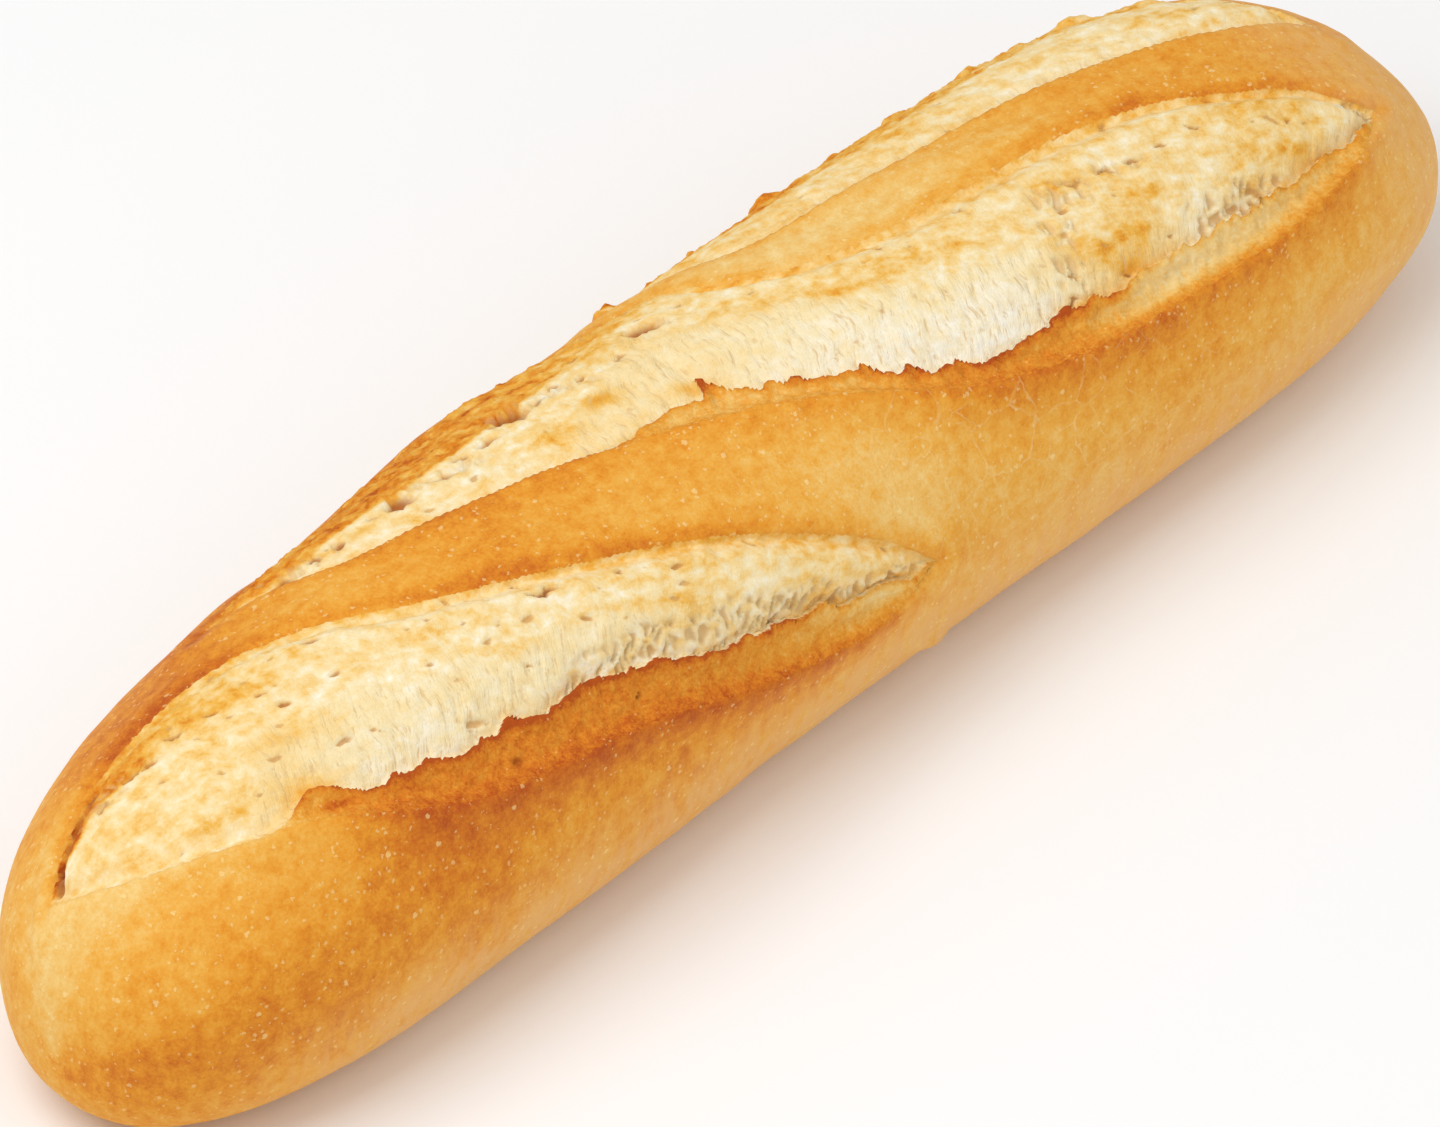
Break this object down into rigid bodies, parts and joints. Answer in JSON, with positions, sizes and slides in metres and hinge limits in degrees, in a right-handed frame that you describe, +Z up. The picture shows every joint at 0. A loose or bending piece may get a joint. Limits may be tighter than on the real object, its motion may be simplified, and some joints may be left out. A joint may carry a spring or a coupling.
{
  "type": "baguette",
  "caption": "Short slashed baguette with rounded ends and a flat sole, its crust opened along the top to show torn crumb.",
  "frame": {"origin": "under the middle of the loaf, on the surface that its sole rests on", "axes": "+X along the loaf, +Y across it, +Z up through the slashed crown"},
  "size_m": [0.2936, 0.0732, 0.0545],
  "materials": {
    "crust": "matte golden crust, paling to cream torn crumb in the slashes"
  },
  "bodies": {
    "root": {"baguette": "crust"}
  },
  "joints": []
}
